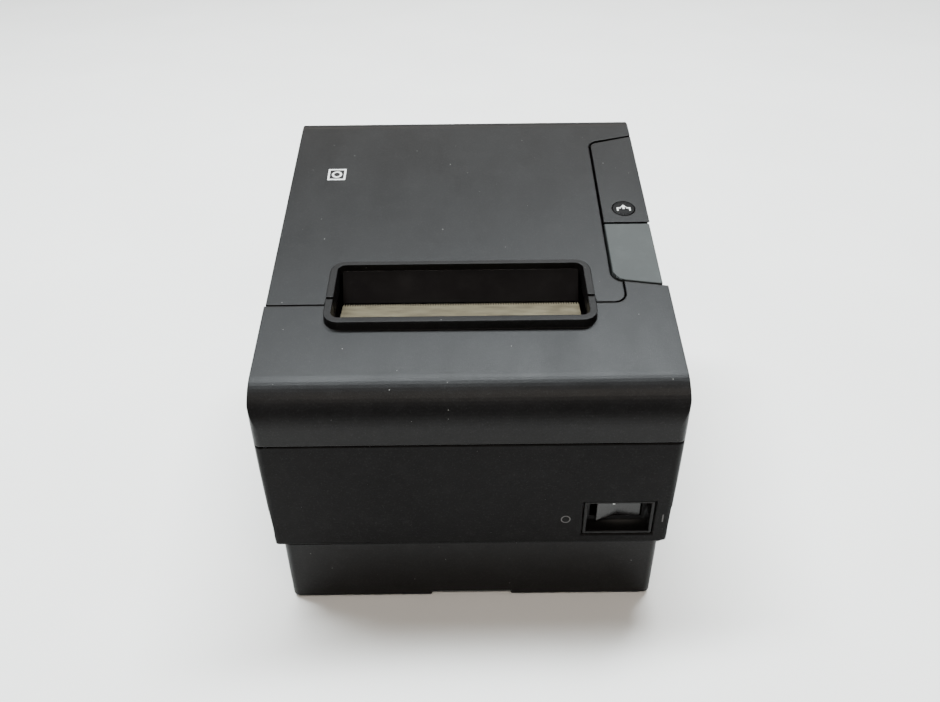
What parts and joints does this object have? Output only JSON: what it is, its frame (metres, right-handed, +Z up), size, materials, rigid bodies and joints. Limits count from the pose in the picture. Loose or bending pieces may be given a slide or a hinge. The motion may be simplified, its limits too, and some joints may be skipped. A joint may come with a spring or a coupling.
{
  "type": "receipt printer",
  "caption": "Desktop thermal receipt printer with a hinged roll cover, sliding front panel, cutter, feed button, release lever and power rocker.",
  "frame": {"origin": "middle of the footprint, on the surface that the feet stand on", "axes": "+Z up, front faces -Y, +X to the right seen from the front"},
  "size_m": [0.145, 0.17, 0.1318],
  "materials": {
    "shell": "fine-textured black ABS",
    "dark": "smooth dark plastic",
    "gloss": "glossy black plastic",
    "lever": "mid-grey plastic",
    "steel": "sheet and bar steel",
    "tear_steel": "warm satin steel",
    "alu": "cast aluminium",
    "rubber": "black rubber",
    "nylon": "natural nylon",
    "brass": "sintered brass",
    "pcb": "green circuit board",
    "ceramic": "glazed ceramic"
  },
  "bodies": {
    "case": {"base_tray": "shell", "main_case": "shell", "side_tower": "shell", "control_panel": "shell", "panel_board": "pcb", "lever_pin": "steel", "lever_spring": "steel", "switch_housing": "dark", "mech_frame": "steel", "thermal_head": "ceramic", "head_heatsink": "alu", "head_springs": "steel", "feed_motor": "steel", "cutter_frame": "dark", "cutter_motor": "steel", "paper_bin": "dark", "near_end_sensor": "dark", "main_board": "pcb", "buzzer": "dark", "interface_plate": "steel", "plate_screws": "steel", "power_inlet": "dark", "drawer_port": "dark", "usb_port": "steel", "ethernet_port": "steel", "case_screws": "steel", "hinge_pin": "steel", "feet": "rubber"},
    "front": {"front_panel": "shell", "tear_bar": "tear_steel"},
    "cover": {"roll_cover": "shell", "cover_frame": "dark", "paper_guide": "gloss", "fixed_blade": "steel", "platen_bushes": "nylon"},
    "platen": {"platen_roller": "rubber", "platen_shaft": "steel", "platen_gear": "nylon"},
    "idler": {"idler_gear": "nylon"},
    "motor": {"motor_pinion": "brass"},
    "lever": {"cover_lever": "lever"},
    "hooks": {"lock_hooks": "steel"},
    "cutter": {"cutter_blade": "steel"},
    "button": {"feed_button": "dark"},
    "rocker": {"power_rocker": "gloss"}
  },
  "joints": [
    {"name": "cover_hinge", "type": "hinge", "parent": "case", "child": "cover", "pos_m": [0, 0.079, 0.08], "axis": [-1, 0, 0], "range_deg": [0, 80]},
    {"name": "front_slide", "type": "slide", "parent": "case", "child": "front", "axis": [0, -1, 0], "range_m": [0, 0.012]},
    {"name": "platen_turn", "type": "hinge", "parent": "cover", "child": "platen", "pos_m": [0, -0.024, 0.086], "axis": [1, 0, 0], "continuous": true},
    {"name": "idler_turn", "type": "hinge", "parent": "case", "child": "idler", "pos_m": [0, -0.024, 0.064], "axis": [1, 0, 0], "continuous": true},
    {"name": "motor_turn", "type": "hinge", "parent": "case", "child": "motor", "pos_m": [0, -0.03673, 0.05127], "axis": [1, 0, 0], "continuous": true},
    {"name": "lever_lift", "type": "hinge", "parent": "case", "child": "lever", "pos_m": [0, -0.00199, 0.11178], "axis": [-1, 0, 0], "range_deg": [0, 22], "stiffness_Nm_per_rad": 0.05, "springref_deg": -5.73},
    {"name": "hook_turn", "type": "hinge", "parent": "case", "child": "hooks", "pos_m": [0, -0.044, 0.072], "axis": [1, 0, 0], "range_deg": [0, 12]},
    {"name": "cutter_stroke", "type": "slide", "parent": "case", "child": "cutter", "axis": [0, 1, 0], "range_m": [0, 0.008]},
    {"name": "button_press", "type": "slide", "parent": "case", "child": "button", "axis": [0, 0.2317, -0.9728], "range_m": [0, 0.0008], "stiffness_N_per_m": 500, "springref_m": -0.0008},
    {"name": "rocker_tilt", "type": "hinge", "parent": "case", "child": "rocker", "pos_m": [0.05285, -0.077, 0.0433], "axis": [0, 0, 1], "range_deg": [-16, 0]}
  ],
  "couplings": [
    {"joint": "idler_turn", "follows": "platen_turn", "ratio": -0.83333},
    {"joint": "motor_turn", "follows": "platen_turn", "ratio": 1.6667},
    {"joint": "hook_turn", "follows": "lever_lift", "ratio": 0.5}
  ]
}
